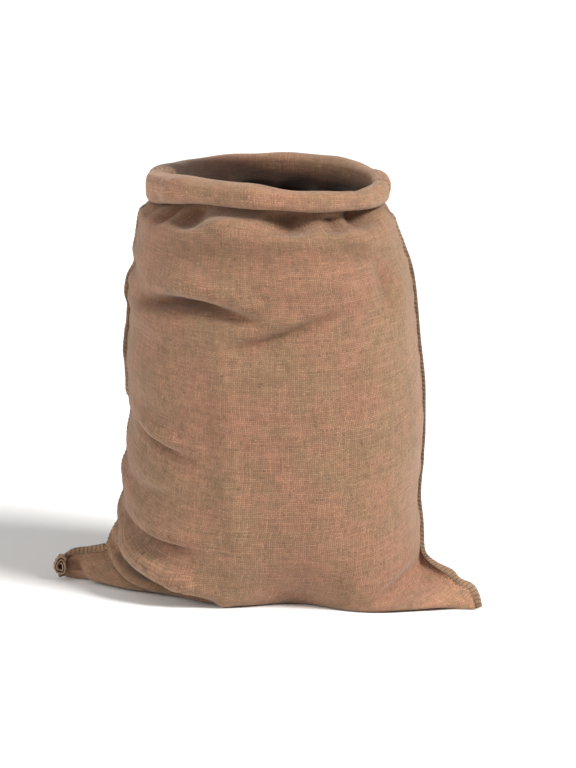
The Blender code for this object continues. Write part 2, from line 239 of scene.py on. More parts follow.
FOLD_STOP_REACH = 0.03
FACING_GAIN = 1.6  # more and a fold reaches further round the sides
INNER_SHARE = 0.4  # the inner face stays within this share of the gap to the cloth that faces it
FACING_ROOM = 0.42  # a fold never presses in by more than this share of the gap to the cloth behind it

# Unevenness of the cloth: how high, how large across, deep and tall, and a shift.
Lump = namedtuple("Lump", "height wide deep tall shift")
LUMPS = table(
    Lump,
    (0.0024, 0.120, 0.120, 0.090, 1.7),
    (0.0013, 0.055, 0.055, 0.035, 9.2),
    (0.0006, 0.045, 0.045, 0.013, 4.4),
)
ROLL_UNEVEN = 0.35  # the roll is this uneven, beside the body
FOOT_CLEAR = 0.003  # the cloth is even below this height and fully uneven FOOT_REACH above it
FOOT_REACH = 0.02

# Puckers beside the seams: from one to the next, how high at the left and the right, how far they reach in.
PUCKER_PITCH = 0.034
PUCKER_LEFT = 0.0016
PUCKER_RIGHT = 0.0009
PUCKER_REACH = 0.030
PUCKER_WANDER = 3
PUCKER_WANDER_SIZES = (0.08, 0.08, 0.05)
PUCKER_WANDER_SHIFT = 5.5
PUCKER_FRONT_SHIFT = 2  # the front's puckers stand beside the back's

# Where the foot of the front wall is set back: across, how far back, how wide and how high the hollow is.
Hollow = namedtuple("Hollow", "x depth reach height")
HOLLOWS = [Hollow(-0.136, 0.022, 0.038, 0.030), Hollow(0.044, 0.038, 0.060, 0.055)]

# How the side seams wander: distance up the cloth, how far out, and how far the allowance leans to the front.
Wave = namedtuple("Wave", "cloth out lean")
LEFT_WAVES = table(
    Wave,
    (0.000, 0.0000, 50),
    (0.020, 0.0010, 62),
    (0.034, -0.0008, 66),
    (0.046, 0.0014, 60),
    (0.060, -0.0010, 66),
    (0.074, 0.0012, 60),
    (0.086, -0.0030, 20),
    (0.103, 0.0080, -70),
    (0.114, 0.0140, -85),
    (0.124, 0.0135, -85),
    (0.139, 0.0050, -85),
    (0.147, 0.0060, -85),
    (0.158, 0.0120, -90),
    (0.171, 0.0080, -90),
    (0.180, 0.0045, -90),
    (0.198, 0.0070, -90),
    (0.228, 0.0120, -90),
    (0.248, 0.0050, -90),
    (0.265, 0.0075, -95),
    (0.283, 0.0085, -95),
    (0.300, 0.0050, -90),
    (0.319, 0.0010, -80),
    (0.338, 0.0010, -30),
    (0.370, 0.0005, 0),
    (0.410, 0.0040, 20),
    (0.452, 0.0000, 25),
    (0.484, -0.0015, 30),
    (0.505, 0.0040, 25),
    (0.525, 0.0060, 15),
    (0.556, -0.0010, -60),
    (0.587, 0.0055, -90),
    (0.618, 0.0050, -95),
    (0.643, 0.0040, -95),
    (0.690, 0.0000, -95),
)
RIGHT_WAVES = table(
    Wave,
    (0.000, 0.0000, 35),
    (0.020, 0.0000, 25),
    (0.040, 0.0012, 20),
    (0.056, -0.0012, 30),
    (0.072, 0.0010, 20),
    (0.090, 0.0000, 15),
    (0.110, 0.0000, 0),
    (0.130, 0.0010, -20),
    (0.170, 0.0040, 0),
    (0.260, 0.0058, 10),
    (0.400, 0.0053, 5),
    (0.560, 0.0043, 0),
    (0.600, 0.0020, -35),
    (0.650, 0.0000, -70),
    (0.690, 0.0000, -70),
)

# How wide the allowance is, and how dark it is painted (0 to 1), by distance up the cloth: partly soil,
# partly painted shade.
Edge = namedtuple("Edge", "cloth width soil")
LEFT_EDGE = table(
    Edge,
    (0.000, 0.0085, 0.0),
    (0.080, 0.0085, 0.0),
    (0.110, 0.0060, 0.3),
    (0.330, 0.0062, 0.4),
    (0.690, 0.0055, 0.4),
)
RIGHT_EDGE = table(
    Edge,
    (0.000, 0.0080, 0.0),
    (0.034, 0.0088, 0.0),
    (0.052, 0.0064, 0.1),
    (0.068, 0.0084, 0.0),
    (0.098, 0.0060, 0.2),
    (0.120, 0.0046, 0.8),
    (0.690, 0.0044, 0.8),
)

# The lower left corner is curled up: its middle, how wide and how high it is from there, how much each turn
# winds in, how many turns, where they start as an angle, and its depth from front to back.
CURL_CENTRE = (-0.2850, 0.0180, 0.0215)
CURL_WIDE = 0.0092
CURL_HIGH = 0.0138
CURL_WIND = 0.33
CURL_TURNS = 2.2
CURL_START = 0.7
CURL_DEPTH = 0.0150
CURL_STEPS = 60
CURL_UNEVEN = 0.05
CURL_WAVER = 0.0012
# the curl is painted darker towards its inner turns: partly soil, partly painted shade
CURL_SOIL_AND_SHADE = 0.3

SEAM_STEP = 0.0022  # how close the places along a seam are
SEAM_ROOT = 0.0016  # how far the allowance reaches back into the cloth that it is sewn from
SEAM_LOWEST = 0.0006  # thread and allowance stay this far above the floor
SEAM_SMOOTHING = 3
SEAM_ROWS_LEFT = 9  # the allowance ends this many rows below the neck
INNER_LOWEST = 0.6  # the inner face stays this share of the thickness above the floor

BAND_SIDES = 12
BAND_SQUARE = 0.6  # 1 is a round allowance, less is boxier
PINCH_WIDTH = 0.0003  # how much wider and thicker it is between the stitches
PINCH_THICKNESS = 0.12

THREAD_SIDES = 5
THREAD_SINK = 0.1  # the thread is pressed in by this share of its width
THREAD_RISE = 0.35  # and lies this share of its width proud of the face
STITCH_DRIFT = 0.15  # how unevenly the stitches follow each other, as a share of the pitch
STITCH_CHANGE = 0.37
LOOP_THREAD = 0.8  # the looped thread beside the thread that winds round
LOOP_WAVER = 0.0004

NEEDLE_THREAD = 0.75  # the needle thread beside the overlock thread
NEEDLE_INSET = 0.0030  # how far in from the seam the needle stitches run
NEEDLE_ROWS_LEFT = 6
NEEDLE_TURN = 3  # rows below the neck where the stitches cross to the side that the roll shows
NEEDLE_START, NEEDLE_END = 0.12, 0.72  # where in the pitch a stitch shows
NEEDLE_PROUD = 0.15  # how far the stitches lie off the cloth, in thread widths
NEEDLE_ARCH = (-0.7, 0.1, 0.1, -0.7)  # how a stitch comes out of the cloth and dips in again, likewise
NEEDLE_TAPER = (0.7, 1, 1, 0.7)

FIBRE_SEED = 11
FIBRE_SIDES = 3
FIBRE_ROWS_LEFT = 8
FIBRE_TAPER = (1.0, 1.0, 0.9, 0.7, 0.35)
FIBRE_SHORTEST, FIBRE_SPREAD = 0.35, 0.9
FIBRE_FLATTEST, FIBRE_STEEPER = 0.15, 0.55
FIBRE_BEND = 0.35
FIBRE_CURVE = 1.3
FIBRE_ROOT = 0.4
FIBRE_LOWEST = 0.0008

# One overlock stitch: share of the pitch, how far out across the allowance, and on which side of it.
Step = namedtuple("Step", "share reach side")
OVERLOCK = table(
    Step,
    (0.00, 0.02, 1.00),
    (0.16, 0.35, 1.00),
    (0.30, 0.75, 1.00),
    (0.40, 1.00, 0.55),
    (0.50, 1.05, 0.00),
    (0.60, 1.00, -0.55),
    (0.70, 0.75, -1.00),
    (0.84, 0.35, -1.00),
    (0.96, 0.02, -1.00),
)


def unit(vectors):
    return vectors / np.maximum(np.linalg.norm(vectors, axis=-1, keepdims=True), 1e-12)


def column(table, name):
    return np.array([getattr(row, name) for row in table], dtype=float)


def smooth_curve(knots, values, at):
    """A smooth curve through the values that doesn't overshoot them."""
    step = np.diff(knots)
    slope = np.diff(values) / step
    tangent = np.zeros(len(knots))
    tangent[0], tangent[-1] = slope[0], slope[-1]
    same_way = slope[1:] * slope[:-1] > 0
    mean = 2 * slope[1:] * slope[:-1] / np.where(same_way, slope[1:] + slope[:-1], 1)
    tangent[1:-1] = np.where(same_way, mean, 0)
    k = np.clip(np.searchsorted(knots, at, side="right") - 1, 0, len(step) - 1)
    h = (at - knots[k]) / step[k]
    return (
        values[k] * (1 + 2 * h) * (1 - h) ** 2
        + tangent[k] * step[k] * h * (1 - h) ** 2
        + values[k + 1] * h**2 * (3 - 2 * h)
        + tangent[k + 1] * step[k] * h**2 * (h - 1)
    )


def along_cloth(table, name, cloth):
    return smooth_curve(column(table, "cloth"), column(table, name), cloth)


def around(table, name, direction):
    """A value of a table that is given by direction, smoothed round the full circle."""
    knots = column(table, "direction")
    knots = np.concatenate([knots - 360, knots, knots + 360])
    return smooth_curve(knots, np.tile(column(table, name), 3), np.mod(direction, 360))


def row_distances():
    """How far up the cloth each row lies, up to the neck under the roll."""
    parts = [np.linspace(band.start, band.end, band.steps, endpoint=False) for band in ROW_BANDS]
    return np.concatenate(parts + [[ROW_BANDS[-1].end]])


def lengths_along(path):
    """How far along a path each of its points lies."""
    return np.concatenate([[0], np.cumsum(np.linalg.norm(np.diff(path, axis=0), axis=1))])


def places_at(at, lengths, values):
    """Points or directions that are given at these lengths, worked out at others."""
    return np.stack([np.interp(at, lengths, values[:, k]) for k in range(3)], axis=1)


def panel_row(section, middle_y, middle_z, half):
    """One row across a panel, from the left seam to the right one, with its points evenly apart."""
    along = np.sin(np.linspace(-np.pi / 2, np.pi / 2, PANEL_STEPS))
    left = np.array([section.left_x, section.left_y, section.left_z])
    right = np.array([section.right_x, section.right_y, section.right_z])
    line = left + (right - left) * (along[:, None] + 1) / 2
    bulge = (1 - np.abs(along) ** section.square) ** section.point
    middle = (left + right) / 2
    line[:, 1] += (middle_y - middle[1]) * bulge
    line[:, 2] += (middle_z - line[:, 2]) * bulge**section.settle
    lengths = lengths_along(line)
    return places_at(np.linspace(0, lengths[-1], half + 1), lengths, line)


def directions_of(points):
    centre = points.mean(axis=0)
    return np.degrees(np.arctan2(points[:, 1] - centre[1], points[:, 0] - centre[0]))


def outward_of(points):
    """Level directions pointing out of a ring."""
    run = np.roll(points, -1, axis=0) - np.roll(points, 1, axis=0)
    return unit(np.stack([run[:, 1], -run[:, 0], np.zeros(len(run))], axis=1))


def bump_at(distance, reach):
    return np.exp(-((distance / reach) ** 2))


def lumps(points, sizes, shift):
    """Soft unevenness from -1 to 1, with lumps of the given sizes along X, Y and Z."""
    scaled = points / np.array(sizes) + shift
    return np.array([noise.noise(row) for row in scaled.tolist()])


def gathered(points, cloth):
    """The ring drawn in and let down by the gathers under the roll."""
    direction = directions_of(points)
    depth = np.zeros(len(points))
    drop = np.zeros(len(points))
    for tuck in TUCKS:
        turn = (direction - tuck.direction + 180) % 360 - 180
        away = cloth - tuck.cloth
        depth += tuck.depth * bump_at(turn, tuck.half_angle) * bump_at(away, tuck.reach)
        low = bump_at(away + DROP_BELOW, tuck.reach * DROP_SHARE)
        drop += tuck.drop * bump_at(turn, tuck.half_angle) * low
    return points - outward_of(points) * depth[:, None] - UP * drop[:, None], depth


def boxed(value, power):
    """A sine or cosine pushed towards a square wave: power 1 leaves it round."""
    return np.sign(value) * np.abs(value) ** power


def roll_rows(neck):
    """The rows of the roll, from the neck over the top, down outside and in underneath."""
    direction = directions_of(neck)
    outward = outward_of(neck)
    radius = around(MOUTH, "radius", direction)
    radius = radius + ROLL_LUMP * lumps(neck, ROLL_LUMP_SIZES, ROLL_LUMP_SHIFT)
    square = around(MOUTH, "square", direction)
    centre = neck + outward * radius[:, None] + UP * around(MOUTH, "lift", direction)[:, None]
    round_way = np.radians(direction)
    (many, many_slant), (few, few_slant) = TWIST_WAVES
    rows = []
    for step in range(1, ROLL_ROWS + 1):
        turn = ROLL_TURNS * 2 * np.pi * step / ROLL_ROWS
        reach = radius - ROLL_PITCH * turn / (2 * np.pi)
        twist = np.sin(many * round_way + many_slant * turn) * np.sin(few * round_way + few_slant * turn)
        reach = reach + TWIST * twist * min(1.0, turn)
        for dent in DENTS:
            aside = (direction - dent.direction + 180) % 360 - 180
            near = bump_at(aside, dent.half_angle) * bump_at(np.degrees(turn) - dent.turn, dent.half_turn)
            reach = reach - dent.depth * near
        rise = boxed(np.sin(turn), square) * reach
        run = boxed(np.cos(turn), square) * reach
        rows.append(centre + UP * rise[:, None] - outward * run[:, None])
    return rows


def crease_line(crease):
    """Points along a crease and how strong it is at each: it fades at both ends."""
    h = np.linspace(0, 1, CREASE_STEPS)[:, None]
    start = np.array([crease.start_x, crease.start_z])
    bend = np.array([crease.bend_x, crease.bend_z])
    end = np.array([crease.end_x, crease.end_z])
    points = start * (1 - h) ** 2 + 2 * bend * h * (1 - h) + end * h**2
    return points, np.sin(np.pi * np.clip(h[:, 0], CREASE_END, 1 - CREASE_END)) ** CREASE_FADE


def crease_depth(creases, seen):
    """How deep the folds press in at each place, and how far the cloth above hangs over.

    seen holds the places, across and up.
    """
    depth = np.zeros(len(seen))
    over = np.zeros(len(seen))
    for crease in creases:
        line, strength = crease_line(crease)
        away = seen[:, None] - line[None]
        apart = np.linalg.norm(away, axis=2)
        nearest = apart.argmin(axis=1)
        gap = apart[np.arange(len(seen)), nearest]
        above = np.sign(away[np.arange(len(seen)), nearest, 1]) * gap
        near = crease.depth * bump_at(gap, crease.half_width)
        wide = crease.half_width
        near -= crease.lip * bump_at(above - LIP_PLACE * wide, LIP_REACH * wide)
        depth += near * strength[nearest]
        hang = bump_at(above - OVERHANG_PLACE * wide, OVERHANG_REACH * wide)
        over += OVERHANG * crease.lip * hang * strength[nearest]
    return depth, over


def vertex_normals(points, faces):
    a, b, c, d = (points[faces[:, k]] for k in range(4))
    across = np.cross(c - a, d - b)
    normals = np.zeros_like(points)
    for k in range(4):
        np.add.at(normals, faces[:, k], across)
    return unit(normals)


class Sheet:
    """The middle of the cloth: rows of points that run round the sack, from the bottom fold into the roll.

    Row 0 is the fold, one line that front and back share. Every other row is a ring: the front from the left
    seam to the right one, then the back from right to left.
    """

    def __init__(self, look):
        self.half = look.columns
        self.count = 2 * self.half
        self.cloth = row_distances()
        self.neck = len(self.cloth) - 1
        rows, gather = self.body_rows()
        rows += roll_rows(rows[-1])
        self.rows = len(rows)
        self.points = np.concatenate(rows)
        self.gather = np.zeros(len(self.points))
        self.gather[self.half + 1 : self.half + 1 + len(gather)] = gather
        self.faces = self.quads()
        self.measure()
        self.fold(look)
        self.points[:, 2] = np.maximum(self.points[:, 2], look.thickness / 2)
        self.points = self.points + CENTRING
        self.normals = vertex_normals(self.points, self.faces)

    def body_rows(self):
        """The rows up to the neck, and how far the gathers draw in each point above row 0."""
        rows = []
        gather = []
        for cloth in self.cloth:
            here = np.array([cloth])
            section = Section(*[along_cloth(SECTIONS, name, here)[0] for name in Section._fields])
            here = np.minimum(here, SEAM_TOP)
            section = section._replace(
                left_x=section.left_x - along_cloth(LEFT_WAVES, "out", here)[0],
                right_x=section.right_x + along_cloth(RIGHT_WAVES, "out", here)[0],
            )
            front = panel_row(section, section.front_y, section.front_z, self.half)
            for hollow in HOLLOWS:
                near = bump_at(front[:, 0] - hollow.x, hollow.reach) * bump_at(front[:, 2], hollow.height)
                front[1:-1, 1] += (hollow.depth * near)[1:-1]
            back = panel_row(section, section.back_y, section.back_z, self.half)
            if not rows:
                rows.append(front)
            else:
                ring, depth = gathered(np.concatenate([front, back[-2:0:-1]]), cloth)
                rows.append(ring)
                gather.append(depth)
        return rows, np.concatenate(gather)

    def index(self, row, place):
        place = place % self.count
        if row == 0:
            return min(place, self.count - place)
        return self.half + 1 + (row - 1) * self.count + place

    def quads(self):
        faces = []
        for row in range(self.rows - 1):
            for place in range(self.count):
                lower = self.index(row, place), self.index(row, place + 1)
                upper = self.index(row + 1, place + 1), self.index(row + 1, place)
                faces.append(lower + upper)
        return np.array(faces)

    def measure(self):
        """Where each point lies on the flat cloth: across from the left seam and up from the fold."""
        across = np.linspace(0, FLAT_WIDTH, self.half + 1)
        ring = np.concatenate([across, across[-2:0:-1]])
        roll_step = 2 * np.pi * ROLL_RADIUS * ROLL_TURNS / ROLL_ROWS
        up = np.concatenate([self.cloth, self.cloth[-1] + roll_step * np.arange(1, ROLL_ROWS + 1)])
        self.across = np.concatenate([across] + [ring] * (self.rows - 1))
        self.up = np.concatenate([np.zeros(self.half + 1)] + [np.full(self.count, x) for x in up[1:]])
        front = np.zeros(self.count)
        front[1 : self.half] = 1
        front[[0, self.half]] = 0.5
        self.front = np.concatenate([np.full(self.half + 1, 0.5)] + [front] * (self.rows - 1))

    def fold(self, look):
        """Presses in the folds and makes the cloth uneven: lumps all over, and puckers beside the seams."""
        normals = vertex_normals(self.points, self.faces)
        body = np.clip((self.cloth[-1] - FOLD_STOP - self.up) / FOLD_STOP_REACH, 0, 1)
        seen = self.points[:, [0, 2]]
        upward = np.maximum(normals[:, 2], 0)
        faces_front = np.clip(FACING_GAIN * (upward - normals[:, 1]), 0, 1)
        faces_back = np.clip(FACING_GAIN * (upward + normals[:, 1]), 0, 1)
        front_depth, front_over = crease_depth(FRONT_CREASES, seen)
        back_depth, back_over = crease_depth(BACK_CREASES, seen)
        front, back = self.front * faces_front * body, (1 - self.front) * faces_back * body
        pressed = front * front_depth + back * back_depth
        # painted shade in the folds and under the gathers below the roll
        self.soil = np.clip(pressed / FOLD_DEEP + self.gather / GATHER_DEEP, 0, 1)
        lift = -look.crease_strength * pressed
        over = look.crease_strength * (front * front_over + back * back_over)
        beside = np.minimum(self.across, FLAT_WIDTH - self.across)
        left = self.across < FLAT_WIDTH / 2
        wander = PUCKER_WANDER * lumps(self.points, PUCKER_WANDER_SIZES, PUCKER_WANDER_SHIFT)
        pucker = np.sin(2 * np.pi * self.up / PUCKER_PITCH + wander + PUCKER_FRONT_SHIFT * self.front)
        lift += np.where(left, PUCKER_LEFT, PUCKER_RIGHT) * pucker * bump_at(beside, PUCKER_REACH) * body
        uneven = np.zeros(len(self.points))
        for lump in LUMPS:
            uneven += lump.height * lumps(self.points, (lump.wide, lump.deep, lump.tall), lump.shift)
        raised = np.clip((self.points[:, 2] - FOOT_CLEAR) / FOOT_REACH, 0, 1)
        lift += look.unevenness * uneven * (ROLL_UNEVEN + (1 - ROLL_UNEVEN) * body) * raised
        room = FACING_ROOM * self.gap_behind()
        self.points = self.points + normals * np.maximum(lift, -room)[:, None]
        self.points[:, 2] -= np.minimum(over, room)

    def gap_behind(self):
        """How far each point is from the point that faces it on the other panel."""
        gap = np.zeros(len(self.points))
        places = np.arange(self.count)
        for row in range(1, self.rows):
            ring = self.ring(row)
            gap[self.index(row, 0) + places] = np.linalg.norm(ring - ring[-places], axis=1)
        return gap

    def ring(self, row):
        first = self.index(row, 0)
        return self.points[first : first + self.count]

    def seam_path(self, place, last_row):
        """The line of a side seam, the way along it and the way out of the sack."""
        rows = range(last_row + 1)
        here = np.array([self.points[self.index(row, place)] for row in rows])
        other = np.array([self.points[self.index(row, self.half - place)] for row in rows])
        for _ in range(SEAM_SMOOTHING):
            here[1:-1] = (here[:-2] + 2 * here[1:-1] + here[2:]) / 4
        run = unit(np.gradient(here, axis=0))
        out = here - other
        return here, run, unit(out - run * (out * run).sum(axis=1, keepdims=True))


SHEETS = {}


def sheet_of(look):
    """The sheet for these settings. It is made once and then kept."""
    key = (look.columns, look.thickness, look.crease_strength, look.unevenness)
    if key not in SHEETS:
        SHEETS[key] = Sheet(look)
    return SHEETS[key]


# ---------------------------------------------------------------- meshes


def new_piece(name, points, faces, finish):
    mesh = bpy.data.meshes.new(name)
    mesh.from_pydata(points.tolist(), [], [tuple(face) for face in faces])
    mesh.materials.append(finish)
    mesh.shade_smooth()
    mesh.update()
    made = bpy.data.objects.new(name, mesh)
    bpy.context.scene.collection.objects.link(made)
    return made


def mark_points(piece, name, values):
    """Stores three numbers at each point, for the finish to read."""
    layer = piece.data.attributes.new(name, "FLOAT_VECTOR", "POINT")
    layer.data.foreach_set("vector", np.asarray(values, dtype=np.float32).ravel())


def tube_faces(steps, sides):
    """The faces of a tube whose points run round it step by step, with both ends closed."""
    faces = []
    for k in range(steps - 1):
        for side in range(sides):
            there = (side + 1) % sides
            here, on = k * sides, (k + 1) * sides
            faces.append((here + side, here + there, on + there, on + side))
    last = (steps - 1) * sides
    faces.append(tuple(range(sides - 1, -1, -1)))
    faces.append(tuple(range(last, last + sides)))
    return faces


def tube(path, widths, side_way, sides):
    """A closed tube along a path: its points and faces. side_way points across the path at each place."""
    run = unit(np.gradient(path, axis=0))
    first = unit(np.cross(run, side_way))
    second = np.cross(run, first)
    turn = 2 * np.pi * np.arange(sides) / sides
    round_way = np.cos(turn)[None, :, None] * first[:, None] + np.sin(turn)[None, :, None] * second[:, None]
    points = (path[:, None] + round_way * np.asarray(widths)[:, None, None] / 2).reshape(-1, 3)
    return points, tube_faces(len(path), sides)


class Bundle:
    """Several closed meshes gathered into one piece."""

    def __init__(self):
        self.points = []
        self.faces = []
        self.marks = []
        self.size = 0

    def add(self, points, faces, mark=None):
        self.points.append(points)
        self.faces += [tuple(self.size + k for k in face) for face in faces]
        self.marks.append(np.zeros((len(points), 3)) if mark is None else mark)
        self.size += len(points)

    def piece(self, name, finish):
        made = new_piece(name, np.concatenate(self.points), self.faces, finish)
        mark_points(made, "lay", np.concatenate(self.marks))
        return made


def make_cloth(look, finish):
    """The sheet given its thickness: an outer face, an inner one and a strip round the rim."""
    sheet = sheet_of(look)
    half_thick = look.thickness / 2
    inward = np.minimum(half_thick, INNER_SHARE * sheet.gap_behind())
    outer = sheet.points + sheet.normals * half_thick
    inner = sheet.points - sheet.normals * inward[:, None]
    outer[:, 2] = np.maximum(outer[:, 2], 0)
    inner[:, 2] = np.maximum(inner[:, 2], look.thickness * INNER_LOWEST)
    count = len(sheet.points)
    rim = np.arange(count - sheet.count, count)
    there = np.roll(rim, -1)
    strip = np.stack([rim, there, count + there, count + rim], axis=1)
    faces = np.concatenate([sheet.faces, count + sheet.faces[:, ::-1], strip])
    made = new_piece("burlap_cloth", np.concatenate([outer, inner]), faces, finish)
    # the third number is painted shade: in the folds and under the gathers on the outer face, deep in the
    # sack on the inner face
    lay = np.stack([sheet.across, sheet.up, FOLD_SHADE * sheet.soil], axis=1)
    lay_inside = lay.copy()
    # painted shade deep inside the sack, on the inner face
    shade_from = around(MOUTH, "shade_from", directions_of(sheet.ring(sheet.neck)))
    shade_from = np.concatenate([shade_from[: sheet.half + 1]] + [shade_from] * (sheet.rows - 1))
    lay_inside[:, 2] = np.clip((shade_from - sheet.up) / SHADE_REACH, 0, 1)
    lay_inside[:, 2] *= np.clip(sheet.gap_behind() / OPEN_GAP, 0, 1)
    mark_points(made, "lay", np.concatenate([lay, lay_inside]))
    return made


class Seam:
    """Close places along the sewn edge: the path, the way along it and out, and the allowance's width."""

    def __init__(self, path, out, width, soil):
        self.along = lengths_along(path)
        self.path = path
        self.run = unit(np.gradient(path, axis=0))
        self.out = unit(out - self.run * (out * self.run).sum(axis=1, keepdims=True))
        self.across = np.cross(self.run, self.out)
        self.width = width
        # how dark the edge is painted: partly soil, partly painted shade
        self.soil = soil

    def at(self, along, values):
        return np.array([np.interp(along, self.along, values[:, k]) for k in range(3)])


def side_seam(sheet, place, waves, edge):
    """The sewn edge up one side, leaning to the front or the back as its table says."""
    path, run, out = sheet.seam_path(place, sheet.neck - SEAM_ROWS_LEFT)
    lengths = lengths_along(path)
    even = np.linspace(0, lengths[-1], int(lengths[-1] / SEAM_STEP))
    cloth = np.interp(even, lengths, sheet.cloth[: len(path)])
    lean = np.radians(along_cloth(waves, "lean", cloth))[:, None]
    path, run, out = (places_at(even, lengths, values) for values in (path, run, out))
    run, out = unit(run), unit(out)
    front = unit(np.cross(run, out))
    front = front * np.where(front[:, 1:2] > 0, -1, 1)
    out = out * np.cos(lean) + front * np.sin(lean)
    return Seam(path, out, along_cloth(edge, "width", cloth), along_cloth(edge, "soil", cloth))


def corner_curl():
    """The sewn edge of the lower left corner, wound in on itself as a short loose roll."""
    turn = np.linspace(0, CURL_TURNS * 2 * np.pi, CURL_STEPS)
    shrink = 1 - CURL_WIND * turn / (2 * np.pi) + CURL_UNEVEN * np.sin(3 * turn)
    wide = CURL_WIDE * shrink * np.cos(turn + CURL_START)
    high = CURL_HIGH * shrink * np.sin(turn + CURL_START)
    front = np.full(CURL_STEPS, -CURL_DEPTH / 2) + CURL_WAVER * np.sin(2 * turn)
    path = np.array(CURL_CENTRE) + np.stack([wide, front, high], axis=1)
    back = np.tile([0.0, 1.0, 0.0], (CURL_STEPS, 1))
    return Seam(path, back, np.full(CURL_STEPS, CURL_DEPTH), np.linspace(0.0, CURL_SOIL_AND_SHADE, CURL_STEPS))


def left_seams(sheet):
    return side_seam(sheet, 0, LEFT_WAVES, LEFT_EDGE), corner_curl()


def right_seams(sheet):
    return (side_seam(sheet, sheet.half, RIGHT_WAVES, RIGHT_EDGE),)


def add_band(bundle, seam, look):
    """The sewn allowance: two raw edges together, pinched by each stitch."""
    pinch = np.cos(2 * np.pi * seam.along / look.stitch_pitch)
    width = seam.width + PINCH_WIDTH * pinch
    thick = look.seam_thickness * (1 + PINCH_THICKNESS * pinch)
    points = []
    for turn in 2 * np.pi * np.arange(BAND_SIDES) / BAND_SIDES:
        root = SEAM_ROOT * (np.cos(turn) < 0)
        reach = width * (0.5 + 0.5 * boxed(np.cos(turn), BAND_SQUARE)) - root
        side = thick / 2 * boxed(np.sin(turn), BAND_SQUARE)
        points.append(seam.path + seam.out * reach[:, None] + seam.across * side[:, None])
    points = np.stack(points, axis=1).reshape(-1, 3)
    points[:, 2] = np.maximum(points[:, 2], SEAM_LOWEST)
    mark = np.zeros((len(points), 3))
    mark[:, 2] = np.repeat(seam.soil, BAND_SIDES)
    bundle.add(points, tube_faces(len(seam.path), BAND_SIDES), mark)


def add_overlock(bundle, seam, look):
    """The overlock thread, which winds round the allowance, and the looped thread along its raw edge."""
    pitch, thread = look.stitch_pitch, look.thread_width
    side = look.seam_thickness / 2 + thread * THREAD_RISE
    route = []
    ways = []
    for stitch in range(int(seam.along[-1] / pitch) - 1):
        drift = STITCH_DRIFT * noise.noise((stitch * STITCH_CHANGE, float(seam.path[0, 0]), 0.5))
        for step in OVERLOCK:
            at = (stitch + step.share + drift) * pitch
            width = np.interp(at, seam.along, seam.width) - thread * THREAD_SINK
            out = seam.at(at, seam.out) * width * step.reach
            route.append(seam.at(at, seam.path) + out + seam.at(at, seam.across) * side * step.side)
            ways.append(seam.at(at, seam.run))
    soil = np.interp(np.linspace(0, 1, len(route)), np.linspace(0, 1, len(seam.soil)), seam.soil)
    add_thread(bundle, np.array(route), thread, np.array(ways), soil)
    edge = seam.path + seam.out * (seam.width + thread * THREAD_SINK)[:, None]
    edge = edge + seam.across * (LOOP_WAVER * np.sin(2 * np.pi * seam.along / pitch))[:, None]
    add_thread(bundle, edge[::2], thread * LOOP_THREAD, seam.out[::2], seam.soil[::2])


def add_thread(bundle, route, width, side_way, soil):
    """One thread laid along a route, kept off the floor."""
    route[:, 2] = np.maximum(route[:, 2], width / 2 + SEAM_LOWEST)
    points, faces = tube(route, np.full(len(route), width), side_way, THREAD_SIDES)
    mark = np.zeros((len(points), 3))
    mark[:, 2] = np.repeat(soil, THREAD_SIDES)
    bundle.add(points, faces, mark)


def add_needle_line(bundle, sheet, place, look):
    """Short needle stitches beside the seam, on the front and on the back, and on over the roll."""
    pitch, thread = look.stitch_pitch, look.thread_width * NEEDLE_THREAD
    share = min(1.0, NEEDLE_INSET * sheet.half / FLAT_WIDTH)
    rows = range(1, sheet.rows - NEEDLE_ROWS_LEFT)
    seam = [sheet.index(row, place) for row in rows]
    for way in (1, -1):
        near = [sheet.index(row, place + way) for row in rows]
        line = sheet.points[seam] * (1 - share) + sheet.points[near] * share
        normal = unit(sheet.normals[seam] * (1 - share) + sheet.normals[near] * share)
        lengths = lengths_along(line)
        below = np.arange(len(line)) < sheet.neck - NEEDLE_TURN
        normal = normal * np.where(below, 1.0, -1.0)[:, None]
        line = line + normal * (look.thickness / 2 + thread * NEEDLE_PROUD)
        for stitch in range(1, int(lengths[-1] / pitch) - 1):
            at = (stitch + np.linspace(NEEDLE_START, NEEDLE_END, len(NEEDLE_ARCH))) * pitch
            dash = places_at(at, lengths, line)
            up = places_at(at, lengths, normal)
            dash += up * (thread * np.array(NEEDLE_ARCH))[:, None]
            dash[:, 2] = np.maximum(dash[:, 2], thread / 2)
            points, faces = tube(dash, thread * np.array(NEEDLE_TAPER), up, THREAD_SIDES)
            bundle.add(points, faces)


def add_fibres(bundle, sheet, look):
    """Loose jute fibres that stand off the cloth, each bent its own way."""
    dice = np.random.RandomState(FIBRE_SEED)
    last = len(sheet.points) - FIBRE_ROWS_LEFT * sheet.count
    h = np.linspace(0, 1, len(FIBRE_TAPER))[:, None]
    for k in dice.randint(sheet.half + 1, last, look.fibres):
        normal = sheet.normals[k]
        flat = unit(np.cross(normal, dice.normal(size=3)))
        length = look.fibre_length * (FIBRE_SHORTEST + FIBRE_SPREAD * dice.rand())
        steep = FIBRE_FLATTEST + FIBRE_STEEPER * dice.rand()
        bend = unit(np.cross(normal, flat)) * dice.normal() * FIBRE_BEND
        path = sheet.points[k] + normal * look.thickness * FIBRE_ROOT
        path = path + length * (flat * h + normal * steep * h * (FIBRE_CURVE - h) + bend * h**2)
        path[:, 2] = np.maximum(path[:, 2], FIBRE_LOWEST)
        points, faces = tube(path, look.fibre_width * np.array(FIBRE_TAPER), normal + 0 * path, FIBRE_SIDES)
        bundle.add(points, faces)


# ---------------------------------------------------------------- finishes


# The yarns, in yarn pitches: how they waver, how round they are, and how far they rise over and dip under.
WAVER = 2.2
WAVER_ACROSS, WAVER_UP = 38.0, 31.0  # how close together the wavers come, for the yarns up and across
ROUNDNESS = -4.2
RISE = 0.38
YARN_HEIGHTS = (0.20, 0.95)  # from the gap between two yarns to the crest of one
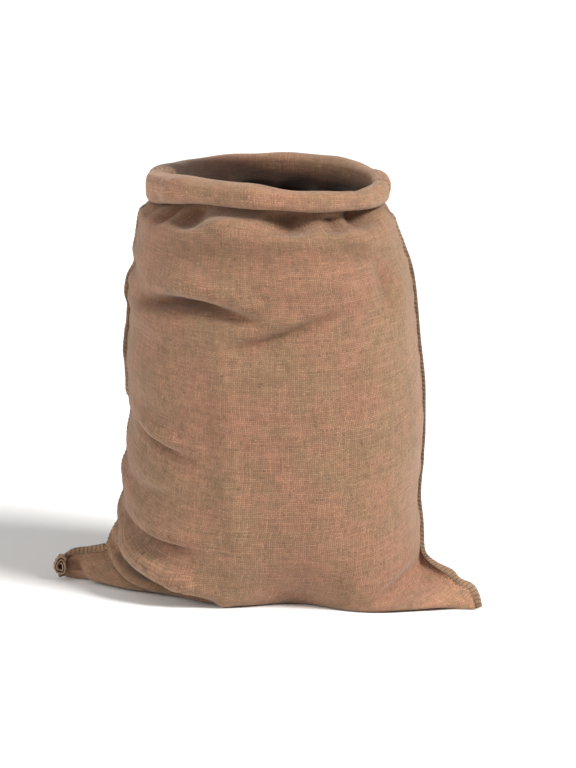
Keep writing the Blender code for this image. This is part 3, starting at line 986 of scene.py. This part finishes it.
# painted shade in the gaps between yarns, and painted light on their crests
GAP_PAINTED_SHADE, CREST_PAINTED_LIGHT = 0.55, 1.06
SLUB_LENGTH = 0.16  # less is a longer thick or thin place in a yarn
SLUB_LENGTH_WEFT = 0.11
YARN_SHIFT = 3.7
STRANDS = 8.0  # how fine the fibres in a yarn are, and how long
STRAND_LENGTH = 0.9
SPECK_SHARE = 0.012  # this share of the crossings is a dark speck, and as many are light
DARK_SPECK = 0.72
LIGHT_SPECK = 1.20
# how much of the painted shade's tint is laid on
PAINTED_SHADE_TINT_SHARE = 0.8
BROAD, CLOSE, FINE = 7.5, 24.0, 95.0  # three sizes of patches: more is smaller
BROAD_SHARE = 0.55  # the broad patches beside the close ones
ROSY_FROM = (0.42, 0.60)  # the patches turn from tan to rosy between these
NOISE_SPAN = (0.3, 0.7)  # most of a noise pattern lies between these
THREAD_SOIL_AND_SHADE = 0.42  # how dark the thread and allowance are at full soil and painted shade
WEAVE_DEPTH = 0.0007
FUZZ_DEPTH = 0.0004


class Finish:
    """A material built node by node."""

    def __init__(self, name):
        self.material = bpy.data.materials.new(name)
        self.material.use_nodes = True
        self.tree = self.material.node_tree
        self.shader = self.tree.nodes["Principled BSDF"]

    def node(self, kind, **settings):
        made = self.tree.nodes.new(kind)
        for key, value in settings.items():
            setattr(made, key, value)
        return made

    def put(self, socket, value):
        if isinstance(value, bpy.types.NodeSocket):
            self.tree.links.new(value, socket)
        else:
            socket.default_value = value

    def math(self, operation, a, b=0.0, c=None):
        made = self.node("ShaderNodeMath", operation=operation)
        self.put(made.inputs[0], a)
        self.put(made.inputs[1], b)
        if c is not None:
            self.put(made.inputs[2], c)
        return made.outputs[0]

    def times(self, *factors):
        """All the factors multiplied together."""
        product = factors[0]
        for factor in factors[1:]:
            product = self.math("MULTIPLY", product, factor)
        return product

    def vector(self, x, y, z=0.0):
        made = self.node("ShaderNodeCombineXYZ")
        for socket, value in zip(made.inputs, (x, y, z)):
            self.put(socket, value)
        return made.outputs[0]

    def noise(self, place, scale, detail=2.0, rough=0.5):
        made = self.node("ShaderNodeTexNoise")
        self.put(made.inputs["Vector"], place)
        made.inputs["Scale"].default_value = scale
        made.inputs["Detail"].default_value = detail
        made.inputs["Roughness"].default_value = rough
        return made.outputs["Fac"]

    def chance(self, place):
        made = self.node("ShaderNodeTexWhiteNoise", noise_dimensions="3D")
        self.put(made.inputs["Vector"], place)
        return made.outputs["Value"]

    def mix(self, share, a, b, blend="MIX"):
        made = self.node("ShaderNodeMix", data_type="RGBA", blend_type=blend)
        self.put(made.inputs[0], share)
        self.put(made.inputs[6], a)
        self.put(made.inputs[7], b)
        return made.outputs[2]

    def swap(self, share, a, b):
        """a where share is 0, b where it is 1."""
        made = self.node("ShaderNodeMix", data_type="FLOAT")
        self.put(made.inputs[0], share)
        self.put(made.inputs[2], a)
        self.put(made.inputs[3], b)
        return made.outputs[0]

    def pick(self, share, a, b):
        """The place a where share is 0, b where it is 1."""
        made = self.node("ShaderNodeMix", data_type="VECTOR")
        self.put(made.inputs[0], share)
        self.put(made.inputs[4], a)
        self.put(made.inputs[5], b)
        return made.outputs[1]

    def spread(self, value, low, high, to_low=0.0, to_high=1.0):
        made = self.node("ShaderNodeMapRange")
        self.put(made.inputs[0], value)
        for socket, number in zip(made.inputs[1:5], (low, high, to_low, to_high)):
            socket.default_value = number
        return made.outputs[0]

    def vary(self, pattern, low, high):
        """A factor from low to high that follows a noise pattern."""
        return self.spread(pattern, *NOISE_SPAN, low, high)

    def towards(self, share, amount):
        """A factor of 1 where share is 0, and of amount where it is 1."""
        return self.spread(share, 0, 1, 1.0, amount)

    def shade(self, colour, amount):
        """The colour times an amount."""
        made = self.node("ShaderNodeVectorMath", operation="SCALE")
        self.put(made.inputs[0], colour)
        self.put(made.inputs["Scale"], amount)
        return made.outputs[0]

    def bump(self, height, distance, strength, under=None):
        made = self.node("ShaderNodeBump")
        made.inputs["Distance"].default_value = distance
        made.inputs["Strength"].default_value = strength
        self.put(made.inputs["Height"], height)
        if under is not None:
            self.put(made.inputs["Normal"], under)
        return made.outputs[0]


def set_cloth_sockets(finish, roughness, sheen):
    shader = finish.shader
    shader.inputs["Roughness"].default_value = roughness
    shader.inputs["Specular IOR Level"].default_value = 0.22
    shader.inputs["Sheen Weight"].default_value = sheen
    shader.inputs["Sheen Roughness"].default_value = 0.55
    shader.inputs["Sheen Tint"].default_value = (0.95, 0.86, 0.76, 1.0)


def burlap_finish(look):
    """Plain weave of uneven jute yarns, with slubs, rosy and olive patches, specks, and painted shade in the
    folds, under the roll and deep inside.
    """
    finish = Finish("burlap_weave")
    lay = finish.node("ShaderNodeAttribute", attribute_name="lay").outputs["Vector"]
    parts = finish.node("ShaderNodeSeparateXYZ")
    finish.put(parts.inputs[0], lay)
    # the third number is how much shade is painted here
    across, up, painted_shade = parts.outputs
    place = finish.node("ShaderNodeTexCoord").outputs["Object"]

    # which yarns cross here, and where in the crossing this is
    waver = finish.noise(place, WAVER_ACROSS, 2.0)
    waver_up = finish.noise(finish.vector(up, across, painted_shade), WAVER_UP, 2.0)
    u = finish.math("MULTIPLY_ADD", across, 1 / look.yarn_pitch, finish.times(waver, WAVER))
    v = finish.math("MULTIPLY_ADD", up, 1 / look.yarn_pitch, finish.times(waver_up, WAVER))
    warp = finish.math("FLOOR", u)
    weft = finish.math("FLOOR", v)
    cu = finish.math("SUBTRACT", finish.math("FRACT", u), 0.5)
    cv = finish.math("SUBTRACT", finish.math("FRACT", v), 0.5)

    # how high each yarn stands, and which one shows
    checker = finish.math("MODULO", finish.math("ABSOLUTE", finish.math("ADD", warp, weft)), 2.0)
    over = finish.math("MULTIPLY_ADD", checker, 2.0, -1.0)
    round_warp = finish.math("MULTIPLY_ADD", finish.times(cu, cu), ROUNDNESS, 1.0)
    round_weft = finish.math("MULTIPLY_ADD", finish.times(cv, cv), ROUNDNESS, 1.0)
    rise_warp = finish.times(over, finish.math("COSINE", finish.times(cv, math.pi)))
    rise_weft = finish.times(over, finish.math("COSINE", finish.times(cu, math.pi)))
    warp_height = finish.math("MULTIPLY_ADD", rise_warp, RISE, round_warp)
    weft_height = finish.math("MULTIPLY_ADD", rise_weft, -RISE, round_weft)
    height = finish.math("MAXIMUM", warp_height, weft_height)
    weft_shows = finish.math("GREATER_THAN", weft_height, warp_height)

    # thick and thin places along the yarn, its fibres, and its own tone
    warp_place = finish.vector(finish.times(warp, YARN_SHIFT), finish.times(v, SLUB_LENGTH), 5.0)
    weft_place = finish.vector(finish.times(u, SLUB_LENGTH_WEFT), finish.times(weft, YARN_SHIFT), 55.0)
    slub = finish.noise(finish.pick(weft_shows, warp_place, weft_place), 1.0, 2.0, 0.6)
    warp_strands = finish.vector(finish.times(u, STRANDS), finish.times(v, STRAND_LENGTH), 3.0)
    weft_strands = finish.vector(finish.times(u, STRAND_LENGTH), finish.times(v, STRANDS), 7.0)
    fuzz = finish.noise(finish.pick(weft_shows, warp_strands, weft_strands), 1.0, 2.0, 0.65)
    yarn_number = finish.swap(weft_shows, warp, finish.math("ADD", weft, 1000.0))
    own_tone = finish.chance(finish.vector(yarn_number, 0.5, 0.5))
    cell = finish.chance(finish.vector(warp, weft, 2.5))

    # colour: tan and rosy patches, redder where shade is painted deep inside and in the folds
    broad = finish.noise(place, BROAD, 3.0, 0.55)
    close = finish.noise(place, CLOSE, 3.0, 0.6)
    fine = finish.noise(place, FINE, 2.0, 0.6)
    patches = finish.math("MULTIPLY_ADD", broad, BROAD_SHARE, finish.times(close, 1 - BROAD_SHARE))
    rosy = finish.spread(patches, *ROSY_FROM)
    base = finish.mix(rosy, (*look.cloth_tan, 1.0), (*look.cloth_rose, 1.0))
    base = finish.mix(finish.times(painted_shade, PAINTED_SHADE_TINT_SHARE), base, look.painted_shade_tint, "MULTIPLY")

    # tone: how light it is here, each cause as a factor
    beside = finish.math("ABSOLUTE", finish.math("SUBTRACT", across, FLAT_WIDTH / 2))
    # where light is painted on the bottom corners
    painted_ear_light = finish.times(finish.spread(beside, *EAR_BESIDE), finish.spread(up, *EAR_UP, 1.0, 0.0))
    tone = finish.times(
        finish.vary(slub, 0.76, 1.24),
        finish.spread(own_tone, 0, 1, 0.90, 1.10),
        finish.spread(cell, 0, 1, 0.97, 1.03),
        finish.vary(close, 0.93, 1.07),
        finish.vary(fine, 0.92, 1.08),
        finish.vary(fuzz, 0.82, 1.18),
        # painted shade in the yarn gaps, painted light on the crests
        finish.spread(height, *YARN_HEIGHTS, GAP_PAINTED_SHADE, CREST_PAINTED_LIGHT),
        finish.towards(finish.math("GREATER_THAN", cell, 1 - SPECK_SHARE), DARK_SPECK),
        finish.towards(finish.math("LESS_THAN", cell, SPECK_SHARE), LIGHT_SPECK),
        # painted shade deep inside, in the folds and under the roll
        finish.towards(painted_shade, look.inside_shade),
        # painted light on the roll
        finish.spread(up, *ROLL_PAINTED_LIGHT, 1.0, look.roll_painted_light),
        # painted light on the bottom corners
        finish.towards(painted_ear_light, look.ear_painted_light),
    )
    finish.put(finish.shader.inputs["Base Color"], finish.shade(base, tone))

    woven = finish.bump(height, WEAVE_DEPTH, 0.55)
    finish.put(finish.shader.inputs["Normal"], finish.bump(fuzz, FUZZ_DEPTH, 0.45, woven))
    set_cloth_sockets(finish, 0.93, look.sheen)
    return finish.material


def thread_finish(name, colour, scale):
    """Twisted thread, darker where it is soiled and where shade is painted on it."""
    finish = Finish(name)
    place = finish.node("ShaderNodeTexCoord").outputs["Object"]
    patches = finish.noise(place, 60.0, 3.0, 0.6)
    grain = finish.noise(place, scale, 2.0, 0.6)
    parts = finish.node("ShaderNodeSeparateXYZ")
    finish.put(parts.inputs[0], finish.node("ShaderNodeAttribute", attribute_name="lay").outputs["Vector"])
    # soil and painted shade from the mark
    soil = finish.towards(parts.outputs[2], THREAD_SOIL_AND_SHADE)
    tone = finish.times(finish.vary(patches, 0.70, 1.20), soil, finish.vary(grain, 0.75, 1.20))
    finish.put(finish.shader.inputs["Base Color"], finish.shade(tuple(colour), tone))
    finish.put(finish.shader.inputs["Normal"], finish.bump(grain, FUZZ_DEPTH, 0.5))
    set_cloth_sockets(finish, 0.95, 0.25)
    return finish.material


def floor_finish(colour):
    """Smooth pale paper with a very faint mottle."""
    finish = Finish("pale_floor")
    place = finish.node("ShaderNodeTexCoord").outputs["Object"]
    tone = finish.vary(finish.noise(place, 2.0, 2.0), 0.99, 1.0)
    finish.put(finish.shader.inputs["Base Color"], finish.shade(tuple(colour), tone))
    finish.shader.inputs["Roughness"].default_value = 0.9
    finish.shader.inputs["Specular IOR Level"].default_value = 0.1
    return finish.material


# ---------------------------------------------------------------- stage


FLOOR_SIDES = 64
KEY_PLACE = (2.7, -1.7, 3.0)
KEY_COLOUR = (1.0, 0.985, 0.96)
FILL_PLACE = (-3.0, -1.8, 1.7)
FILL_SIZE = 2.2
FILL_COLOUR = (1.0, 0.99, 0.97)
ROOM_COLOUR = (1.0, 0.985, 0.97, 1.0)
LIGHTS_AIM = (0.0, 0.0, 0.3)
CAMERA_REACH = (0.1, 60.0)  # the camera sees from here to there


def add_light(name, kind, place, size, energy, colour):
    """A soft lamp: for an area lamp size is its width, for a sun it is the angle that it fills."""
    lamp = bpy.data.lights.new(name, kind)
    if kind == "SUN":
        lamp.angle = size
    else:
        lamp.shape = "DISK"
        lamp.size = size
    lamp.energy = energy
    lamp.color = colour
    made = bpy.data.objects.new(name, lamp)
    made.location = place
    made.rotation_euler = (Vector(LIGHTS_AIM) - Vector(place)).to_track_quat("-Z", "Y").to_euler()
    bpy.context.scene.collection.objects.link(made)
    return made


def make_floor(stage, finish):
    """One wide round floor, with nothing standing behind the sack."""
    turn = 2 * np.pi * np.arange(FLOOR_SIDES) / FLOOR_SIDES
    points = stage.floor_reach * np.stack([np.cos(turn), np.sin(turn), 0 * turn], axis=1)
    made = new_piece("pale_floor", points, [tuple(range(FLOOR_SIDES))], finish)
    return made


def make_camera(stage):
    eye = bpy.data.cameras.new("camera")
    eye.lens = stage.lens
    eye.sensor_width = 36.0
    eye.clip_start, eye.clip_end = CAMERA_REACH
    made = bpy.data.objects.new("camera", eye)
    tilt = stage.camera_tilt
    aim = Vector(stage.camera_aim)
    back = Vector((0.0, -math.cos(tilt), math.sin(tilt)))
    made.location = aim + back * stage.camera_distance
    made.rotation_euler = (-back).to_track_quat("-Z", "Y").to_euler()
    bpy.context.scene.collection.objects.link(made)
    bpy.context.scene.camera = made


def make_world(stage):
    world = bpy.data.worlds.new("soft_room")
    world.use_nodes = True
    room = world.node_tree.nodes["Background"]
    room.inputs["Color"].default_value = ROOM_COLOUR
    room.inputs["Strength"].default_value = stage.room_light
    bpy.context.scene.world = world


# ---------------------------------------------------------------- settings


def length_setting(name, description, default):
    return FloatProperty(name=name, description=description, default=default, unit="LENGTH")


def angle_setting(name, description, default):
    return FloatProperty(name=name, description=description, default=default, subtype="ANGLE")


def amount_setting(name, description, default, **limits):
    return FloatProperty(name=name, description=description, default=default, min=0.0, **limits)


def colour_setting(name, description, default):
    size = len(default)
    return FloatVectorProperty(
        name=name, description=description, default=default, size=size, subtype="COLOR"
    )


class SackSettings(bpy.types.PropertyGroup):
    """Sizes and colours of the sack."""

    thickness: length_setting("Cloth thickness", "How thick the burlap is", 0.0014)
    columns: IntProperty(
        name="Columns", description="Steps across each panel of the cloth", default=120, min=16
    )
    crease_strength: amount_setting("Folds", "How deep the folds are pressed in", 1.0)
    unevenness: amount_setting("Unevenness", "How lumpy the cloth lies", 1.0)
    yarn_pitch: length_setting("Yarn pitch", "From one yarn to the next", 0.0026)
    cloth_tan: colour_setting("Tan yarn", "Colour of the tan patches", (0.233, 0.137, 0.078))
    cloth_rose: colour_setting("Rosy yarn", "Colour of the rosy patches", (0.254, 0.129, 0.079))
    # tint of the painted shade
    painted_shade_tint: colour_setting("Deep tint", "Tint of the inside and of the folds", (1.0, 0.76, 0.68, 1.0))
    # painted light on the roll
    roll_painted_light: amount_setting("Roll tone", "How light the roll is, beside the body", 1.15)
    # painted light on the bottom corners
    ear_painted_light: amount_setting("Ear tone", "How light the bottom corners are, beside the body", 1.38)
    inside_shade: amount_setting("Inside shade", "How dark the cloth is deep inside", 0.16, max=1.0)
    sheen: amount_setting("Sheen", "Soft glow of the fuzz", 0.25, max=1.0)
    seam_thickness: length_setting("Allowance thickness", "Two layers and the thread", 0.0026)
    stitch_pitch: length_setting("Stitch pitch", "From one overlock stitch to the next", 0.0060)
    thread_width: length_setting("Thread", "How thick the sewing thread is", 0.0008)
    thread_colour: colour_setting("Thread colour", "Colour of the sewing thread", (0.150, 0.092, 0.060))
    edge_colour: colour_setting("Edge colour", "Colour of the sewn allowance", (0.370, 0.236, 0.150))
    fibres: IntProperty(
        name="Loose fibres", description="How many loose fibres stand off the cloth", default=420, min=0
    )
    fibre_length: length_setting("Fibre length", "About how long a loose fibre is", 0.011)
    fibre_width: length_setting("Fibre width", "How thick a loose fibre is", 0.00028)


class StageSettings(bpy.types.PropertyGroup):
    """The floor, the lights and the camera."""

    floor_colour: colour_setting("Floor", "Colour of the floor", (0.92, 0.92, 0.92))
    floor_reach: length_setting("Floor reach", "How far the floor goes each way", 14.0)
    key_light: amount_setting("Key light", "Strength of the light from the right", 4.4)
    key_softness: angle_setting("Key softness", "How wide the light from the right looks", math.radians(20))
    fill_light: amount_setting("Fill light", "Strength of the light from the left", 52.0)
    room_light: amount_setting("Room light", "Strength of the light from all round", 0.42)
    lens: FloatProperty(
        name="Lens", description="Focal length in millimetres",
        default=169.8, min=10.0,
    )
    camera_distance: length_setting("Camera distance", "From the camera to its aim", 5.0)
    camera_tilt: angle_setting("Camera tilt", "How far the camera looks down", math.radians(11.5))
    camera_aim: FloatVectorProperty(
        name="Camera aim", description="The point the camera looks at",
        default=(0.0327, 0.0011, 0.2836), size=3, subtype="XYZ",
    )


# ---------------------------------------------------------------- operators


class SACK_OT_cloth(bpy.types.Operator):
    """Makes the folded, sewn and rolled sheet of burlap"""

    bl_idname = "sack.cloth"
    bl_label = "Burlap cloth"

    def execute(self, context):
        look = context.scene.sack
        cloth = make_cloth(look, burlap_finish(look))
        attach(cloth, "root")
        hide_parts("sack_cloth")
        return {"FINISHED"}


class SACK_OT_seams(bpy.types.Operator):
    """Makes the sewn allowance down each side"""

    bl_idname = "sack.seams"
    bl_label = "Side seams"

    def execute(self, context):
        look = context.scene.sack
        sheet = sheet_of(look)
        finish = thread_finish("raw_edge", look.edge_colour, 700.0)
        for name, node, seams in (
            ("left_allowance", "seam_left", left_seams(sheet)),
            ("right_allowance", "seam_right", right_seams(sheet)),
        ):
            bundle = Bundle()
            for seam in seams:
                add_band(bundle, seam, look)
            made = bundle.piece(name, finish)
            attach(made, "root")
            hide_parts(node)
        return {"FINISHED"}


class SACK_OT_stitches(bpy.types.Operator):
    """Makes the overlock thread and the needle stitches of both seams"""

    bl_idname = "sack.stitches"
    bl_label = "Stitches"

    def execute(self, context):
        look = context.scene.sack
        sheet = sheet_of(look)
        finish = thread_finish("sewing_thread", look.thread_colour, 1500.0)
        for name, place, seams in (
            ("left_stitches", 0, left_seams(sheet)),
            ("right_stitches", sheet.half, right_seams(sheet)),
        ):
            bundle = Bundle()
            for seam in seams:
                add_overlock(bundle, seam, look)
            add_needle_line(bundle, sheet, place, look)
            made = bundle.piece(name, finish)
            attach(made, "root")
        return {"FINISHED"}


class SACK_OT_fibres(bpy.types.Operator):
    bl_idname = "sack.fibres"
    bl_label = "Loose fibres"

    def execute(self, context):
        look = context.scene.sack
        bundle = Bundle()
        add_fibres(bundle, sheet_of(look), look)
        made = bundle.piece("loose_fibres", thread_finish("jute_fibre", look.cloth_tan, 300.0))
        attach(made, "root")
        return {"FINISHED"}


class SACK_OT_stage(bpy.types.Operator):
    """Makes the pale floor, the soft studio light and the camera"""

    bl_idname = "sack.stage"
    bl_label = "Studio stage"

    def execute(self, context):
        stage = context.scene.sack_stage
        make_floor(stage, floor_finish(stage.floor_colour))
        add_light("key_light", "SUN", KEY_PLACE, stage.key_softness, stage.key_light, KEY_COLOUR)
        add_light("fill_light", "AREA", FILL_PLACE, FILL_SIZE, stage.fill_light, FILL_COLOUR)
        make_world(stage)
        make_camera(stage)
        context.scene.view_settings.view_transform = "Standard"
        return {"FINISHED"}


class SACK_PT_panel(bpy.types.Panel):
    """Lists the steps and settings of the sack"""

    bl_idname = "SACK_PT_panel"
    bl_label = "Burlap Sack"
    bl_space_type = "VIEW_3D"
    bl_region_type = "UI"
    bl_category = "Burlap Sack"

    def draw(self, context):
        for kind in OPERATORS:
            self.layout.operator(kind.bl_idname)
        for settings in (context.scene.sack, context.scene.sack_stage):
            box = self.layout.box()
            for name in settings.__annotations__:
                box.prop(settings, name)


OPERATORS = (SACK_OT_cloth, SACK_OT_seams, SACK_OT_stitches, SACK_OT_fibres, SACK_OT_stage)
CLASSES = (SackSettings, StageSettings, *OPERATORS, SACK_PT_panel)


def register():
    for kind in CLASSES:
        bpy.utils.register_class(kind)
    bpy.types.Scene.sack = PointerProperty(type=SackSettings)
    bpy.types.Scene.sack_stage = PointerProperty(type=StageSettings)


def unregister():
    del bpy.types.Scene.sack_stage
    del bpy.types.Scene.sack
    for kind in reversed(CLASSES):
        bpy.utils.unregister_class(kind)


def main():
    register()
    bpy.ops.sack.cloth()
    bpy.ops.sack.seams()
    bpy.ops.sack.stitches()
    bpy.ops.sack.fibres()
    bpy.ops.sack.stage()


if __name__ == "__main__":
    main()
